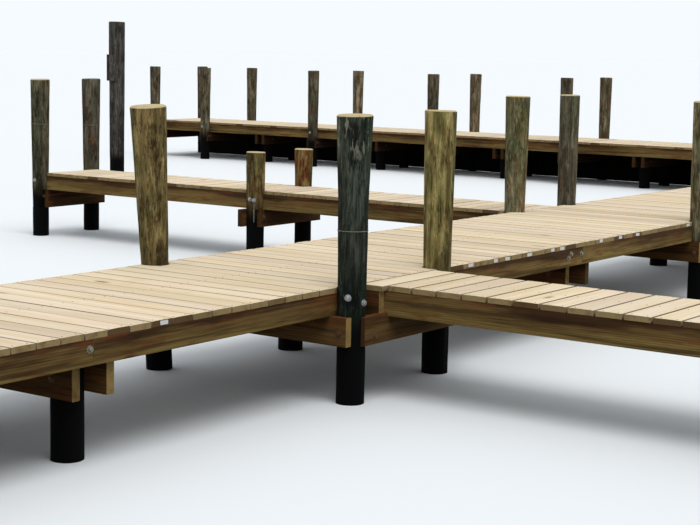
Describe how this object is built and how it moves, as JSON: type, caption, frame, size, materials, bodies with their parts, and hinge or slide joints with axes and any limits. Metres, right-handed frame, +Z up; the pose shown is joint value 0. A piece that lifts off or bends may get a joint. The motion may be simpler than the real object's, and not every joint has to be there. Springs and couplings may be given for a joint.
{
  "type": "wooden jetty with finger piers",
  "caption": "Timber jetty: a plank walkway on round piles with paired caps, and three finger piers that leave slips for boats between them.",
  "frame": {"origin": "middle of the plan, at the water line where the piles are cut", "axes": "+X along the walkway, +Y across it towards the far side where two of the fingers run out, +Z up"},
  "size_m": [25.266, 26.076, 2.91],
  "materials": {
    "deck_board": "sawn pale pressure treated softwood, matt",
    "stringer": "sawn treated softwood, weathered brown, matt",
    "cap": "sawn treated softwood, dark and damp, matt",
    "pile": "round treated softwood, weathered olive grey, matt",
    "dark_pile": "round treated softwood, near black and wet, matt",
    "screen": "sawn treated softwood, dark and damp, matt"
  },
  "bodies": {
    "root": {"walkway_deck": "deck_board", "near_finger_deck": "deck_board", "middle_finger_deck": "deck_board", "far_finger_deck": "deck_board", "walkway_near_stringer": "stringer", "walkway_centre_stringer": "stringer", "walkway_far_stringer": "stringer", "near_finger_stringers": "stringer", "middle_finger_stringers": "stringer", "far_finger_stringers": "stringer", "near_finger_root_block": "stringer", "walkway_caps": "cap", "junction_caps": "cap", "near_finger_caps": "cap", "middle_finger_caps": "cap", "far_finger_caps": "cap", "near_finger_header": "cap", "middle_finger_header": "cap", "far_finger_header": "cap", "far_finger_wave_screen": "screen", "junction_near_pile": "dark_pile", "junction_far_pile": "pile", "corner_pile": "pile", "walkway_near_pile": "pile", "middle_root_left_pile": "pile", "middle_root_right_pile": "pile", "middle_left_short_pile": "pile", "middle_right_short_pile": "pile", "middle_end_left_pile": "pile", "middle_end_right_pile": "pile", "near_finger_piles": "pile", "far_finger_left_piles": "pile", "far_finger_right_piles": "pile", "far_finger_hidden_piles": "dark_pile", "walkway_near_row_piles": "pile", "walkway_far_row_piles": "pile", "walkway_hidden_near_piles": "dark_pile", "walkway_hidden_far_piles": "dark_pile", "mooring_pile": "pile", "mooring_pile_board": "cap"}
  },
  "joints": []
}
